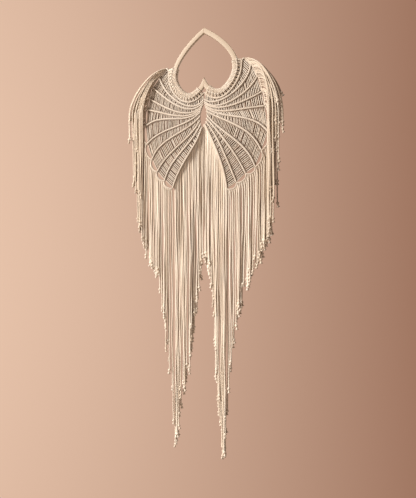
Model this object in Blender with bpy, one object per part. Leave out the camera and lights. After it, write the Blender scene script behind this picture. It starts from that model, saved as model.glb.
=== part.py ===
"""Macrame wall hanging: two knotted wings and a long fringe on a heart-shaped wooden frame.

Metres, +Z up, X across, and the front faces -Y. The origin is the inside of the heart's upper
tip, at mid thickness, where a nail in the wall carries the hanging.

Tables are in millimetres, with x counted outwards from the seam between the two wings.
"""

import math
import random
from collections import namedtuple

import bmesh
import bpy
import numpy as np

MM = 0.001
CLEAR = 0.4 * MM  # gap between neighbouring pieces
RIGHT, LEFT = 1, -1

# Colours of the two materials, linear RGB.
WOOD_COLOUR = (0.72, 0.50, 0.32)
COTTON_COLOUR = (0.80, 0.68, 0.54)

# The wooden heart hangs tip up. Its centre line is three Bezier stretches a half, from the
# tip over the widest place and the bottom of the lobe to the cusp between the lobes.
WOOD_WIDTH = 13.5 * MM
WOOD_THICKNESS = 8 * MM
STRETCH_STEPS = 8
HEART_STRETCHES = (
    ((0, 7.7), (45, -19), (98, -67), (98, -112)),
    ((98, -112), (98, -142), (68, -177), (46, -177)),
    ((46, -177), (26, -177), (8, -158), (0, -142)),
)

# The heading is a row of lark's head knots around each lobe, one ridge to a knot. Its section
# is a flat hexagon, given in units of half its width.
CORD = 4 * MM
KNOT_PITCH = 8.1 * MM
HEADING_DIP = 0.94  # size of the band between two knots
HEADING_SECTION = ((1, 0), (0.68, 0.75), (-0.68, 0.75), (-1, 0), (-0.68, -0.75), (0.68, -0.75))
HEADING_TOP = {RIGHT: -86 * MM, LEFT: -82 * MM}
HEADING_CUSP_X = 13 * MM
HEADING_GAP = 1.1 * MM  # from the heading to the first rib

# Each wing has eleven ribs of double half hitches that fan out from the seam. The first rib
# follows the heading and leaves it for its tip, and the others are Bezier curves.
RIB_RADIUS = 4.3 * MM
RIB_DIP = 0.84
RIB_STEP = 18 * MM
RIB_HANDLE = 0.36  # a handle's length, as a share of the chord
FIRST_RIB_LEAVES = -122 * MM  # height at which the first rib leaves the heading
FIRST_RIB_TIPS = {RIGHT: (120, -86), LEFT: (127, -78)}
FIRST_RIB_BEND = (1 * MM, 0)
Rib = namedtuple("Rib", "root_z leave_deg tip_x tip_z arrive_deg")
RIBS = {
    RIGHT: (
        Rib(-190, -42, 141, -113, 86),
        Rib(-196, -48, 160, -149, 60),
        Rib(-202, -38, 174, -193, 24),
        Rib(-208, -42, 183, -235, -4),
        Rib(-214, -42, 193, -307, -56),
        Rib(-226, -34, 176, -357, -68),
        Rib(-236, -54, 159, -400, -72),
        Rib(-247, -48, 132, -416, -64),
        Rib(-256, -51, 105, -439, -68),
        Rib(-264, -62, 77, -455, -84),
    ),
    LEFT: (
        Rib(-191, -54, 149, -103, 74),
        Rib(-198, -48, 175, -129, 40),
        Rib(-205, -52, 184, -164, 30),
        Rib(-213, -45, 193, -197, 12),
        Rib(-220, -45, 194, -249, -36),
        Rib(-226, -44, 185, -305, -44),
        Rib(-240, -48, 166, -354, -68),
        Rib(-252, -62, 147, -392, -60),
        Rib(-262, -68, 122, -420, -72),
        Rib(-272, -75, 95, -444, -72),
    ),
}

# The seam opens into a narrow slit between the roots of the middle ribs.
SLIT_TOP = -199 * MM
SLIT_BOTTOM = -277 * MM
SLIT_HALF_WIDTH = 6.5 * MM

# Scallops are the bars that join each rib's tip to the next one.
SCALLOP_RADIUS = 3.6 * MM
SCALLOP_BULGE = 0.17  # as a share of the chord
SCALLOP_STEPS = 4

# Strands run from rib to rib wherever the ribs stand apart, several side by side in a bunch.
SPAN_PITCH = 30 * MM
SPAN_HALF_WIDTH = 11.5 * MM
SPAN_SECTION = ((1, 0), (0, 0.28), (-1, 0), (0, -0.28))
SPAN_LEAST_GAP = 7 * MM
SPAN_INSET = 14 * MM
SPAN_SINK = 1.5 * MM  # how far short of the ribs' centre lines they end
SPAN_SLENDER = 0.5  # most half width, as a share of the gap between the ribs

# The wings billow a little, and lean away from the wall over the fringe behind them.
BILLOW = 3 * MM
LEAN = 16 * MM
LEAN_TOP = -190 * MM
LEAN_BOTTOM = -400 * MM

# Fringe. A strip of hitches carries each one, in front of the upper scallops or behind the
# lower ones and the last rib. The strands hang in layers, and each ends in a knot.
STRIP_RADIUS = 3.2 * MM
STRAND_RADIUS = 2 * MM
LAYER_PITCH = 5.9 * MM
KNOT_SIZE = 1.75
KNOT_LENGTH = 10 * MM
TAIL_LENGTH = 6 * MM
HEM_JITTER = 14 * MM
SHOULDER_STRANDS = {RIGHT: 10, LEFT: 12}
SHOULDER_END_Z = -200 * MM
SHOULDER_HANG_Z = -250 * MM  # height from which the shoulder's strands hang straight
SHOULDER_HANG_Y = -20 * MM
SHOULDER_INNER_X = {RIGHT: 203 * MM, LEFT: 208 * MM}
SHOULDER_OUTER = {RIGHT: (233, -250), LEFT: (252, -204)}  # widest point of the outline
SHOULDER_SHARES = (1, 0.78, 0.55)  # lengths of neighbouring strands, by turns
SCALLOP_STRANDS = 21
CENTRE_STRANDS = {RIGHT: 14, LEFT: 16}
Hem = namedtuple("Hem", "x z")
HEMS = {
    RIGHT: (
        Hem(0, -650), Hem(22, -700), Hem(33, -850), Hem(46, -1040), Hem(60, -1215),
        Hem(72, -1200), Hem(84, -965), Hem(103, -810), Hem(130, -722), Hem(170, -640),
        Hem(203, -570), Hem(216, -510), Hem(226, -430), Hem(236, -350),
    ),
    LEFT: (
        Hem(0, -655), Hem(22, -775), Hem(52, -980), Hem(74, -1060), Hem(88, -1210),
        Hem(102, -1195), Hem(110, -980), Hem(132, -790), Hem(146, -700), Hem(180, -645),
        Hem(206, -570), Hem(232, -490), Hem(245, -450), Hem(254, -390),
    ),
}


def clear_scene():
    """Removes whatever the scene holds."""
    for thing in list(bpy.data.objects):
        bpy.data.objects.remove(thing)


def collection(name):
    """A new collection in the scene."""
    made = bpy.data.collections.new(name)
    bpy.context.scene.collection.children.link(made)
    return made


def material(name, colour, roughness):
    """A plain material of one colour."""
    made = bpy.data.materials.new(name)
    made.use_nodes = True
    shader = made.node_tree.nodes["Principled BSDF"]
    shader.inputs["Base Color"].default_value = (*colour, 1)
    shader.inputs["Roughness"].default_value = roughness
    shader.inputs["Metallic"].default_value = 0
    return made


def bezier(start, handle, other_handle, end, steps):
    """Points of a cubic Bezier curve, ends included."""
    t = np.linspace(0, 1, steps + 1)[:, None]
    corners = [np.array(p, float) for p in (start, handle, other_handle, end)]
    weights = ((1 - t) ** 3, 3 * t * (1 - t) ** 2, 3 * t**2 * (1 - t), t**3)
    return sum(w * p for w, p in zip(weights, corners))


def run_lengths(line):
    """Distance of each point from the start of a line, along it."""
    steps = np.linalg.norm(np.diff(line, axis=0), axis=1)
    return np.concatenate([[0], np.cumsum(steps)])


def along(line, distances):
    """Points of a line at these distances from its start."""
    runs = run_lengths(line)
    columns = [np.interp(distances, runs, line[:, i]) for i in range(line.shape[1])]
    return np.stack(columns, axis=1)


def normals(line):
    """Unit normals in the X, Z plane, on the left hand of the direction of travel."""
    ways = np.gradient(line, axis=0)
    ways /= np.linalg.norm(ways, axis=1)[:, None]
    return np.stack([-ways[:, 1], ways[:, 0]], axis=1)


def heart_line(steps=STRETCH_STEPS):
    """Centre line of the heart's right half, from the tip to the cusp."""
    stretches = [bezier(*stretch, steps) * MM for stretch in HEART_STRETCHES]
    return np.concatenate([stretches[0], stretches[1][1:], stretches[2][1:]])


def to_seam(line):
    """A line cut, or extended straight, so that it starts and ends at x = 0."""
    inside = np.flatnonzero(line[:, 0] > 0)
    first, last = inside[0], inside[-1]
    kept = line[first : last + 1]
    ends = []
    for near, far in (
        (line[first], line[first - 1] if first else line[first + 1]),
        (line[last], line[last + 1] if last + 1 < len(line) else line[last - 1]),
    ):
        share = near[0] / (near[0] - far[0])
        ends.append(near + (far - near) * share)
    return np.concatenate([[ends[0]], kept, [ends[1]]])


def heart_edge(distance):
    """Closed outline of the heart at this distance outside its centre line."""
    line = heart_line()
    half = to_seam(line + normals(line) * distance)
    other = half[-2:0:-1] * (-1, 1)
    return np.concatenate([half, other])


def wing_depth(points):
    """How far the wing stands at these X, Z points: it leans forward towards its foot."""
    share = np.clip((points[:, 1] - LEAN_TOP) / (LEAN_BOTTOM - LEAN_TOP), 0, 1)
    return -LEAN * np.sin(math.pi / 2 * share)


def stood(points, depths):
    """X, Y, Z points from X, Z points and their depths."""
    return np.stack([points[:, 0], depths, points[:, 1]], axis=1)


def slit_half_width(z):
    """Half the width of the slit in the seam at this height."""
    share = (SLIT_TOP - z) / (SLIT_TOP - SLIT_BOTTOM)
    return SLIT_HALF_WIDTH * math.sin(math.pi * share) if 0 < share < 1 else 0


def first_rib(side):
    """X, Z points of the rib that follows the heading round the lobe, seam to tip."""
    line = heart_line(4 * STRETCH_STEPS)
    reach = WOOD_WIDTH / 2 + CORD + HEADING_GAP + RIB_RADIUS
    edge = (line + normals(line) * reach)[::-1]
    edge = edge[edge[:, 0] > CLEAR + RIB_RADIUS * math.sin(math.radians(40))]
    hugging = edge[: np.argmax(edge[:, 1] > FIRST_RIB_LEAVES)]
    tip = np.array(FIRST_RIB_TIPS[side]) * MM
    return np.concatenate([hugging, (hugging[-1:] + tip) / 2 - FIRST_RIB_BEND, [tip]])


def later_rib(rib):
    """X, Z points of a rib after the first, seam to tip."""
    leave, arrive = math.radians(rib.leave_deg), math.radians(rib.arrive_deg)
    root_z = rib.root_z * MM
    root_x = CLEAR / 2 + RIB_RADIUS * abs(math.sin(leave)) + slit_half_width(root_z)
    root = np.array([root_x, root_z])
    tip = np.array([rib.tip_x, rib.tip_z]) * MM
    handle = RIB_HANDLE * np.linalg.norm(tip - root)
    out = root + handle * np.array([math.cos(leave), math.sin(leave)])
    back = tip - handle * np.array([math.cos(arrive), math.sin(arrive)])
    return bezier(root, out, back, tip, 24)


def rib_lines(side):
    """X, Z points of all of a wing's ribs, top to bottom."""
    return [first_rib(side)] + [later_rib(rib) for rib in RIBS[side]]


def scallop_line(tip, next_tip):
    """X, Z points of the bar from one rib's tip to the next, bulging outwards."""
    chord = next_tip - tip
    outward = np.array([-chord[1], chord[0]])
    t = np.linspace(0, 1, SCALLOP_STEPS + 1)[:, None]
    return tip + chord * t + outward * SCALLOP_BULGE * np.sin(math.pi * t)


def scallop_lines(ribs):
    """The scallops between each rib of a wing and the next."""
    return [scallop_line(a[-1], b[-1]) for a, b in zip(ribs, ribs[1:])]


def ridged(line):
    """A rib's points, evenly spaced, and radii that alternate between crest and dip."""
    length = run_lengths(line)[-1]
    count = 2 * round(length / RIB_STEP / 2)
    distances = np.linspace(0, length, count + 1)
    points = along(line, distances)
    billow = -BILLOW * np.sin(math.pi * distances / length) ** 2
    radii = RIB_RADIUS * np.where(np.arange(count + 1) % 2, 1, RIB_DIP)
    return stood(points, wing_depth(points) + billow), radii


def span_runs(upper, lower):
    """The bunches of strands between two ribs, each a straight run that fans out downwards."""
    upper_length, lower_length = run_lengths(upper)[-1], run_lengths(lower)[-1]
    distances = np.arange(lower_length - SPAN_INSET, 0, -SPAN_PITCH)
    shares = distances / lower_length
    starts, ends = along(upper, shares * upper_length), along(lower, distances)
    billow = -BILLOW * np.sin(math.pi * shares) ** 2
    gaps = np.linalg.norm(ends - starts, axis=1) - 2 * RIB_RADIUS
    tops = stood(starts, wing_depth(starts) + billow)
    feet = stood(ends, wing_depth(ends) + billow)
    fan = np.array([min(1, upper_length / lower_length), 1])
    runs = []
    for top, foot, gap in zip(tops, feet, gaps):
        if gap > SPAN_LEAST_GAP:
            step = (foot - top) * SPAN_SINK / (gap + 2 * RIB_RADIUS)
            half_width = min(SPAN_HALF_WIDTH, SPAN_SLENDER * gap)
            runs.append((np.stack([top + step, foot - step]), fan * half_width))
    return runs


def hem_z(side, x):
    """Height of the fringe's hem at this distance from the seam."""
    hem = HEMS[side]
    return np.interp(x / MM, [row.x for row in hem], [row.z for row in hem]) * MM


def knotted(points):
    """A strand's points with a knot and a short tail at its end, and its radii."""
    foot = points[-1]
    ends = [foot - (0, 0, KNOT_LENGTH / 2), foot - (0, 0, KNOT_LENGTH / 2 + TAIL_LENGTH)]
    radii = [1] * len(points) + [KNOT_SIZE, 1.2]
    return np.concatenate([points, ends]), np.array(radii) * STRAND_RADIUS


def shoulder_x(side, edge, z, share):
    """How far out a shoulder strand hangs at this height, from the rim (0) to the outline (1)."""
    (top_x, top_z), (wide_x, wide_z) = edge[0], np.array(SHOULDER_OUTER[side]) * MM
    rim_z, rim_x = [*edge[:, 1], SHOULDER_HANG_Z], [*edge[:, 0], SHOULDER_INNER_X[side]]
    rim = np.interp(-z, -np.array(rim_z), rim_x)
    up = max(0, (z - wide_z) / (top_z - wide_z))
    outer = top_x + (wide_x - top_x) * max(0, 1 - up * up) ** 0.6
    return rim + share * (outer - rim)


def shoulder_fringe(side, tips, dice):
    """The strip in front of the upper rib tips, and the strands that swing out from it."""
    edge = tips[tips[:, 1] > SHOULDER_END_Z]
    path = stood(edge, wing_depth(edge) - SCALLOP_RADIUS - 2 * CLEAR - STRIP_RADIUS)
    length = run_lengths(path)[-1]
    margin = 2 * STRAND_RADIUS
    count = SHOULDER_STRANDS[side]
    runs = []
    for i, root in enumerate(along(path, np.linspace(margin, length - margin, count))):
        forward = LAYER_PITCH * (i % 2)
        out = 1 - i / (count - 1)
        points = [root]
        for drop, spread in ((0.04, 0.5), (0.2, 1), (0.5, 1), (1, 1)):
            z = root[2] + (SHOULDER_HANG_Z - root[2]) * drop
            y = root[1] + (SHOULDER_HANG_Y - root[1]) * drop - forward
            points.append((shoulder_x(side, edge, z, out * spread), y, z))
        x, y, z = points[-1]
        reach = (hem_z(side, x) - z) * SHOULDER_SHARES[i % len(SHOULDER_SHARES)]
        points.append((x, y, z + reach + dice.uniform(-1, 1) * HEM_JITTER))
        runs.append(knotted(np.array(points)))
    return path, runs


def curtain(side, path, count, inner_x, outer_x, dice):
    """Strands that hang straight down behind a strip that runs outwards, in two layers.

    Each is rooted in the lowest part of the strip at its distance from the seam.
    """
    reach = np.maximum.accumulate(path[:, 0])
    spots = np.interp(np.linspace(inner_x, outer_x, count), reach, run_lengths(path))
    runs = []
    for i, root in enumerate(along(path, spots)):
        x, y, z = root
        back = y + LAYER_PITCH * (1 + i % 2)
        foot_z = hem_z(side, x) + dice.uniform(-1, 1) * HEM_JITTER
        runs.append(knotted(np.array([root, (x, back, z - STRIP_RADIUS), (x, back, foot_z)])))
    return runs


def scallop_fringe(side, tips, dice):
    """The strip behind the lower rib tips, and the strands that hang from it."""
    edge = tips[:4:-1]
    path = stood(edge, wing_depth(edge) + SCALLOP_RADIUS + CLEAR + STRIP_RADIUS)
    inner_x = path[0, 0] + STRAND_RADIUS
    outer_x = path[-1, 0] - STRAND_RADIUS
    return path, curtain(side, path, SCALLOP_STRANDS, inner_x, outer_x, dice)


def centre_fringe(side, rib, dice):
    """The strip behind the last rib, and the curtain of strands that hangs from it."""
    edge = rib[:-2:3]
    path = stood(edge, wing_depth(edge) + RIB_RADIUS + CLEAR + STRIP_RADIUS)
    inner_x = path[0, 0] + STRAND_RADIUS
    outer_x = path[-1, 0] - STRAND_RADIUS
    return path, curtain(side, path, CENTRE_STRANDS[side], inner_x, outer_x, dice)


def flat_curve(name, loops):
    """Curve data in its own X, Y plane with one closed straight-sided loop for each list."""
    data = bpy.data.curves.new(name, "CURVE")
    data.dimensions = "2D"
    for loop in loops:
        spline = data.splines.new("POLY")
        spline.points.add(len(loop) - 1)
        for slot, (x, y) in zip(spline.points, loop):
            slot.co = (x, y, 0, 1)
        spline.use_cyclic_u = True
    return data


def meshed(name, data, place):
    """A mesh object from a curve drawn in X, Z, its caps welded to its sides."""
    curve = bpy.data.objects.new(name + "_curve", data)
    curve.rotation_euler = (math.pi / 2, 0, 0)
    bpy.context.scene.collection.objects.link(curve)
    bpy.context.view_layer.update()
    graph = bpy.context.evaluated_depsgraph_get()
    mesh = bpy.data.meshes.new_from_object(curve.evaluated_get(graph))
    shape = bmesh.new()
    shape.from_mesh(mesh)
    bmesh.ops.remove_doubles(shape, verts=shape.verts, dist=MM / 1000)
    bmesh.ops.recalc_face_normals(shape, faces=shape.faces)
    shape.to_mesh(mesh)
    shape.free()
    mesh.transform(curve.matrix_world)
    made = bpy.data.objects.new(name, mesh)
    place.objects.link(made)
    bpy.data.objects.remove(curve)
    return made


def tubes(name, runs, side, place, section=None):
    """One mesh of separate bars along runs of X, Y, Z points, each point with its radius.

    A bar has four sides, or the outline of the section, given in units of the radius.
    """
    data = bpy.data.curves.new(name, "CURVE")
    data.dimensions = "3D"
    data.use_fill_caps = True
    outline = None
    if section:
        loop = [(x * MM, y * MM) for x, y in section]
        outline = bpy.data.objects.new(name + "_outline", flat_curve(name + "_outline", [loop]))
        bpy.context.scene.collection.objects.link(outline)
        data.bevel_mode = "OBJECT"
        data.bevel_object = outline
        data.twist_mode = "Z_UP"
    else:
        data.bevel_depth = MM
        data.bevel_resolution = 0
    for points, radii in runs:
        spline = data.splines.new("POLY")
        spline.points.add(len(points) - 1)
        for slot, (x, y, z), radius in zip(spline.points, points, radii):
            slot.co = (side * x, z, -y, 1)
            slot.radius = radius / MM
    made = meshed(name, data, place)
    if outline:
        bpy.data.objects.remove(outline)
    return made


def combine(base, other, operation):
    """Joins the other solid to the base, or cuts it from it."""
    step = base.modifiers.new(operation.title(), "BOOLEAN")
    step.operation = operation
    step.solver = "EXACT"
    step.use_self = operation == "UNION"
    step.object = other
    other.hide_render = True
    other.display_type = "WIRE"


def heart_frame(name, place):
    """The flat wooden heart."""
    loops = [heart_edge(WOOD_WIDTH / 2), heart_edge(-WOOD_WIDTH / 2)]
    data = flat_curve(name, loops)
    data.fill_mode = "BOTH"
    data.extrude = WOOD_THICKNESS / 2
    made = meshed(name, data, place)
    made.data.materials.append(material(name + "_wood", WOOD_COLOUR, 0.5))


def heading(name, side, place, helpers):
    """The row of lark's head knots that wraps one lobe of the heart."""
    line = heart_line(4 * STRETCH_STEPS)
    start = np.argmax(line[:, 1] < HEADING_TOP[side])
    stop = len(line) - np.argmax(line[::-1, 0] > HEADING_CUSP_X)
    wrapped = line[start:stop]
    length = run_lengths(wrapped)[-1]
    knots = round(length / KNOT_PITCH)
    stations = along(wrapped, np.linspace(0, length, 2 * knots + 1))
    sizes = np.where(np.arange(2 * knots + 1) % 2, 1, HEADING_DIP)
    sizes = sizes * (WOOD_WIDTH / 2 + CORD)
    made = tubes(name, [(stood(stations, 0 * sizes), sizes)], side, place, HEADING_SECTION)
    core = heart_line()
    core = core[core[:, 1] < HEADING_TOP[side] + 4 * KNOT_PITCH][:-1]
    a, b = WOOD_WIDTH / 2 + CLEAR, WOOD_THICKNESS / 2 + CLEAR
    run = (stood(core, 0 * core[:, 0]), np.full(len(core), a))
    hole = ((1, b / a), (-1, b / a), (-1, -b / a), (1, -b / a))
    combine(made, tubes(name + "_hole", [run], side, helpers, hole), "DIFFERENCE")
    made.data.materials.append(material(name + "_cotton", COTTON_COLOUR, 0.9))


def wing(name, side, ribs, scallops, place, helpers):
    """One knotted wing: its ribs, its scallops and the strands between the ribs."""
    bars = [ridged(line) for line in ribs]
    for line in scallops:
        bars.append((stood(line, wing_depth(line)), np.full(len(line), SCALLOP_RADIUS)))
    made = tubes(name, bars, side, place)
    spans = sum((span_runs(a, b) for a, b in zip(ribs, ribs[1:])), [])
    combine(made, tubes(name + "_spans", spans, side, helpers, SPAN_SECTION), "UNION")
    made.data.materials.append(material(name + "_cotton", COTTON_COLOUR, 0.9))


def fringe(name, side, strip_and_runs, place, helpers):
    """A fringe: its strip, with the strands' roots sunk in it."""
    path, runs = strip_and_runs
    strip = (path, np.full(len(path), STRIP_RADIUS))
    made = tubes(name, [strip], side, place)
    combine(made, tubes(name + "_strands", runs, side, helpers), "UNION")
    made.data.materials.append(material(name + "_cotton", COTTON_COLOUR, 0.9))


def main():
    clear_scene()
    place = collection("macrame_wings")
    helpers = collection("helpers")
    heart_frame("heart_frame", place)
    for side, word in ((RIGHT, "right"), (LEFT, "left")):
        dice = random.Random(word)
        ribs = rib_lines(side)
        scallops = scallop_lines(ribs)
        tips = np.array([line[-1] for line in ribs])
        heading(word + "_heading", side, place, helpers)
        wing(word + "_wing", side, ribs, scallops, place, helpers)
        for part, made in (
            ("shoulder", shoulder_fringe(side, tips, dice)),
            ("scallop", scallop_fringe(side, tips, dice)),
            ("centre", centre_fringe(side, ribs[-1], dice)),
        ):
            fringe(f"{word}_{part}_fringe", side, made, place, helpers)


main()
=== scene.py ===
"""Looks of a macrame wall hanging: knotted cotton wings and a long fringe on a wooden heart hoop.

Metres, +Z up, and the front faces -Y. The origin is the inside of the hoop's upper tip. The tables RIBS,
FIRST_RIB_TIPS and HEMS and the hoop's stretches are in millimetres. Lines of the wings and fringes have
x counted outwards from the seam between the two wings, until to_side() puts them on their own side.
"""

from __future__ import annotations

import logging
import math
from dataclasses import dataclass, field
from enum import Enum
from typing import NamedTuple

import bpy
import numpy as np
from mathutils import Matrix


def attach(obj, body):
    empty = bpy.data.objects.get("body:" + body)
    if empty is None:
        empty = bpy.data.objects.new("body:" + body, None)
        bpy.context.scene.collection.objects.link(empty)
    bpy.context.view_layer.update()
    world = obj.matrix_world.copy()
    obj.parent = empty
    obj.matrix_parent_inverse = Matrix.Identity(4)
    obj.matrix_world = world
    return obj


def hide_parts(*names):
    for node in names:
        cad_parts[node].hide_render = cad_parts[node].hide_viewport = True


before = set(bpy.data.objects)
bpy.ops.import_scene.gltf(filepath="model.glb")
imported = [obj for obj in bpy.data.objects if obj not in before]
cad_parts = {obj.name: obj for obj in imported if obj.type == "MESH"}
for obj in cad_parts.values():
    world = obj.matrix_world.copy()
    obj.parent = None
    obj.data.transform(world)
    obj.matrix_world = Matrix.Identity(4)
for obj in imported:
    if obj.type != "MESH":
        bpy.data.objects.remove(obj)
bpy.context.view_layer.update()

log = logging.getLogger("macrame_wings")

Array = np.ndarray
MM = 0.001
UV_NAME = "strand"
SHADERS = ("BSDF_PRINCIPLED", "BACKGROUND")
FLANK_FADE = 5  # power of the cosine by which painted shade fades from a cord's sides to its front
END_FADE = 4  # power by which painted shade fades from a cord's ends to its middle
TO_VIEWER = np.array([0, -1, 0])


class Side(Enum):
    """Which wing a piece belongs to, as the sign of its X."""

    RIGHT = 1
    LEFT = -1

    @property
    def word(self) -> str:
        """The side's name, as the nodes have it."""
        return self.name.lower()


class Slot(Enum):
    """The record's material slots."""

    WOOD = "wood"
    COTTON = "cotton"


# ---------------------------------------------------------------------------------------- lines


def bezier(start: Array, handle: Array, other_handle: Array, end: Array, steps: int) -> Array:
    """Points of a cubic Bezier curve: the four corners weighted by the Bernstein terms of t.

    Args:
        start: first corner.
        handle: second corner.
        other_handle: third corner.
        end: last corner.
        steps: number of equal steps of t from 0 to 1.

    Returns:
        steps + 1 points, ends included.
    """
    t = np.linspace(0, 1, steps + 1)[:, None]
    weights = ((1 - t) ** 3, 3 * t * (1 - t) ** 2, 3 * t**2 * (1 - t), t**3)
    return sum(w * np.asarray(p, float) for w, p in zip(weights, (start, handle, other_handle, end)))


def run_lengths(line: Array) -> Array:
    """Distance of each point from the start of a line: the running sum of its steps."""
    return np.concatenate([[0], np.cumsum(np.linalg.norm(np.diff(line, axis=0), axis=1))])


def along(line: Array, distances: Array) -> Array:
    """Points of a line at these distances from its start, by straight interpolation.

    Args:
        line: points of shape (n, dimensions).
        distances: distances of any shape.

    Returns:
        Points of the distances' shape, with the dimensions last.
    """
    runs = run_lengths(line)
    return np.stack([np.interp(distances, runs, column) for column in line.T], axis=-1)


def outward_normals(line: Array) -> Array:
    """Unit normals in the X, Z plane: each step's direction turned a quarter to the left."""
    ways = np.gradient(line, axis=0)
    ways /= np.linalg.norm(ways, axis=1)[:, None]
    return np.stack([-ways[:, 1], ways[:, 0]], axis=1)


def unit(vectors: Array) -> Array:
    """Vectors divided by their lengths."""
    return vectors / np.maximum(np.linalg.norm(vectors, axis=-1, keepdims=True), 1e-12)


def stood(points: Array, depths: Array | float) -> Array:
    """X, Y, Z points from X, Z points and their depths along Y."""
    depths = np.broadcast_to(depths, points.shape[:-1])
    return np.stack([points[..., 0], depths, points[..., 1]], axis=-1)


def tube(path: Array, radius: Array, reference: Array, sides: int, ring: bool = False) -> Array:
    """Skins of tubes: each path point plus its radius times (cos a across + sin a up).

    Across is the unit cross product of the reference and the path's direction, up is the cross
    product of the direction and across, and a goes once round in equal steps.

    Args:
        path: centre lines of shape (count, rows, 3).
        radius: radii of shape (count, rows) or (count, rows, sides).
        reference: directions that no path runs along, of shape (3,) or (count, 1, 3).
        sides: points around each tube.
        ring: True where each path closes on itself.

    Returns:
        Points of shape (count, rows, sides, 3).
    """
    if ring:
        direction = unit(np.roll(path, -1, axis=1) - np.roll(path, 1, axis=1))
    else:
        direction = unit(np.gradient(path, axis=1))
    across = unit(np.cross(np.broadcast_to(reference, path.shape), direction))
    up = np.cross(direction, across)
    angle = np.linspace(0, 2 * math.pi, sides, endpoint=False)[:, None]
    radius = radius[..., None] if radius.ndim == 2 else radius
    spokes = np.cos(angle) * across[:, :, None] + np.sin(angle) * up[:, :, None]
    return path[:, :, None] + radius[..., None] * spokes


@dataclass
class Skein:
    """Skins of cords gathered into one mesh.

    Each corner has a UV of its length along the cord in metres and its turn around it, and each
    point has a tone, from 0 for the darkest cord to 1 for the lightest, and a painted shade, from 0
    on the crown of a cord to 1 in a crease, which the finish paints dark where shade falls.
    """

    name: str
    slot: Slot
    stands_for: tuple[str, ...]
    points: list[Array] = field(default_factory=list)
    faces: list[Array] = field(default_factory=list)
    uvs: list[Array] = field(default_factory=list)
    tones: list[Array] = field(default_factory=list)
    painted_shades: list[Array] = field(default_factory=list)
    total: int = 0

    def add(self, grid: Array, uv: Array, tone: Array, painted_shade: Array, ring: bool = False) -> None:
        """Adds grids whose sides close on themselves, with flat ends unless they are rings.

        Args:
            grid: points of shape (count, rows, sides, 3).
            uv: length and turn of shape (count, rows, sides + 1, 2), with one more row for rings.
            tone: tones of shape (count,).
            painted_shade: painted shade, from 0 to 1 in the darkest crease, that broadcasts to (count,
                rows, sides).
            ring: True where the last row joins the first.
        """
        count, rows, sides, _ = grid.shape
        index = self.total + np.arange(count * rows * sides).reshape(count, rows, sides)
        around = np.concatenate([index, index[:, :, :1]], axis=2)
        if ring:
            around = np.concatenate([around, around[:, :1]], axis=1)
        corners = (
            (slice(None, -1), slice(None, -1)),
            (slice(None, -1), slice(1, None)),
            (slice(1, None), slice(1, None)),
            (slice(1, None), slice(None, -1)),
        )
        self.faces.append(np.stack([around[:, r, c] for r, c in corners], axis=-1).reshape(-1, 4))
        self.uvs.append(np.stack([uv[:, r, c] for r, c in corners], axis=-2).reshape(-1, 2))
        if not ring:
            self.faces += [index[:, 0, ::-1], index[:, -1]]
            self.uvs += [uv[:, 0, -2::-1].reshape(-1, 2), uv[:, -1, :-1].reshape(-1, 2)]
        self.points.append(grid.reshape(-1, 3))
        self.tones.append(np.repeat(tone, rows * sides))
        self.painted_shades.append(np.broadcast_to(painted_shade, (count, rows, sides)).ravel())
        self.total += count * rows * sides

    def add_cords(
        self,
        path: Array,
        radius: Array,
        reference: Array,
        tone: Array,
        sides: int = 8,
        ring: bool = False,
        flank_shade: Array | float = 0.0,
        ends: float = 0.0,
        shade: Array | float = 0.0,
    ) -> None:
        """Adds plain cords along paths, as tube() makes them, with UVs that run along them.

        The length in a cord's UVs starts at its tone, so that neighbours differ in their fibres.

        Args:
            path: centre lines of shape (count, rows, 3).
            radius: radii of shape (count, rows) or (count, rows, sides).
            reference: directions that no path runs along.
            tone: tones of shape (count,).
            sides: points around each cord.
            ring: True where each path closes on itself.
            flank_shade: painted shade on a cord's sides, which fades to its front, one number or of shape
                (rows, 1).
            ends: painted shade at a cord's two ends, which fades to its middle.
            shade: least painted shade, one number or of a shape that broadcasts to (count, rows, sides).
        """
        grid = tube(path, radius, reference, sides, ring)
        angle = np.arange(sides) * 2 * math.pi / sides
        closed = np.concatenate([path, path[:, :1]], axis=1) if ring else path
        steps = np.linalg.norm(np.diff(closed, axis=1), axis=-1)
        length = np.concatenate([tone[:, None], tone[:, None] + np.cumsum(steps, axis=1)], axis=1)
        turn = np.linspace(0, 1, sides + 1)
        uv = np.stack(np.broadcast_arrays(length[:, :, None], turn), axis=-1)
        side_painted_shade = flank_shade * np.abs(np.cos(angle)) ** FLANK_FADE
        end_painted_shade = ends * np.linspace(-1, 1, path.shape[1])[:, None] ** END_FADE
        self.add(grid, uv, tone, np.maximum(shade, np.maximum(side_painted_shade, end_painted_shade)), ring)

    def build(self, material: bpy.types.Material) -> bpy.types.Object:
        """Makes the mesh object, gives it its finish, and puts it in place of its nodes.

        Args:
            material: the finish.

        Returns:
            The finished piece, at the origin.
        """
        mesh = bpy.data.meshes.new(self.name)
        sizes = np.concatenate([np.full(len(f), f.shape[1]) for f in self.faces])
        mesh.vertices.add(self.total)
        mesh.vertices.foreach_set("co", np.concatenate(self.points).astype(np.float32).ravel())
        mesh.loops.add(int(sizes.sum()))
        mesh.loops.foreach_set("vertex_index", np.concatenate([f.ravel() for f in self.faces]))
        mesh.polygons.add(len(sizes))
        mesh.polygons.foreach_set("loop_start", np.concatenate([[0], np.cumsum(sizes)[:-1]]))
        mesh.polygons.foreach_set("use_smooth", np.ones(len(sizes), bool))
        mesh.update(calc_edges=True)
        layer = mesh.uv_layers.new(name=UV_NAME)
        layer.uv.foreach_set("vector", np.concatenate(self.uvs).astype(np.float32).ravel())
        for name, values in (("tone", self.tones), ("painted_shade", self.painted_shades)):
            made = mesh.attributes.new(name, "FLOAT", "POINT")
            made.data.foreach_set("value", np.concatenate(values).astype(np.float32))
        mesh.materials.append(material)
        piece = bpy.data.objects.new(self.name, mesh)
        bpy.context.scene.collection.objects.link(piece)
        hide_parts(*self.stands_for)
        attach(piece, "root")
        log.info("%s: %d faces", self.name, len(sizes))
        return piece


# -------------------------------------------------------------------------------------- finishes


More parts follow.
